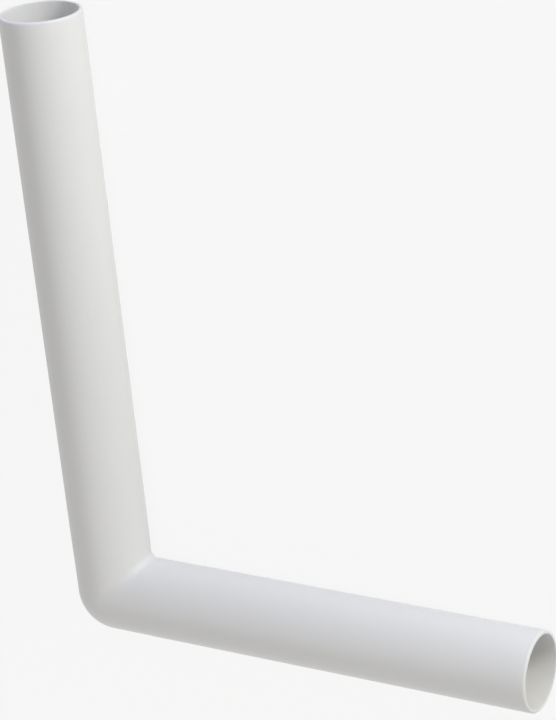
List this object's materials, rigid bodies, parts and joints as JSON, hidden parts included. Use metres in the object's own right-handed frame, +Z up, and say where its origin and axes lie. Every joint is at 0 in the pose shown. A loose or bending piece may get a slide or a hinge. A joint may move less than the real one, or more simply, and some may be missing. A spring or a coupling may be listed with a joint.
{
  "type": "overflow pipe",
  "caption": "Plain-ended plastic overflow pipe with a long leg and a short leg joined by a tight right-angle bend, open at each mouth.",
  "frame": {"origin": "under the middle of the pipe's bounding box, on the surface that it lies on", "axes": "+Y along the long leg towards its mouth, +X along the short leg towards its mouth, +Z up from the surface"},
  "size_m": [0.284, 0.362, 0.044],
  "materials": {
    "pipe_plastic": "satin white moulded plastic"
  },
  "bodies": {
    "root": {"pipe": "pipe_plastic"}
  },
  "joints": []
}
